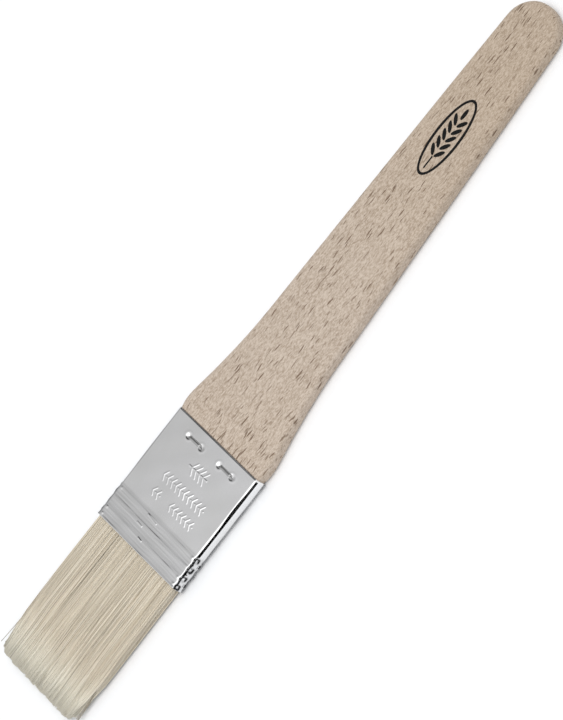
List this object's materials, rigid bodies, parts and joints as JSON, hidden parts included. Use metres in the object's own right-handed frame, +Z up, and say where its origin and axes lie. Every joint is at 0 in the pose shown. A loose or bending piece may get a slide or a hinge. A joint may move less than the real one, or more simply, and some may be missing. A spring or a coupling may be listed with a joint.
{
  "type": "pastry brush",
  "caption": "Flat pastry brush with a long tapered wooden handle, a bright sheet-metal ferrule with rolled grooves, and a chisel-ended tuft of natural bristle.",
  "frame": {"origin": "under the middle of the whole brush, on the surface that it lies on", "axes": "+Y along the brush towards the round end of the handle, +X across its width, +Z up out of the front face; the brush lies on its back"},
  "size_m": [0.0386, 0.2517, 0.0057],
  "materials": {
    "beech": "pale beech, sanded smooth and left matte, with short darker flecks along the grain",
    "ferrule_plate": "thin bright-plated steel sheet with a soft gloss",
    "staple_wire": "flattened steel wire",
    "bristle": "natural cream bristle with a dull waxy sheen and paler tips",
    "filler_wood": "rough-sawn softwood",
    "resin": "cast amber adhesive",
    "ink": "matte black pad-printed ink"
  },
  "bodies": {
    "root": {"handle": "beech", "handle_print": "ink", "ferrule": "ferrule_plate", "staple_front_left": "staple_wire", "staple_front_right": "staple_wire", "staple_back_left": "staple_wire", "staple_back_right": "staple_wire", "filler_strip": "filler_wood", "setting_resin": "resin", "bristle_front_pack": "bristle", "bristle_back_pack": "bristle"}
  },
  "joints": []
}
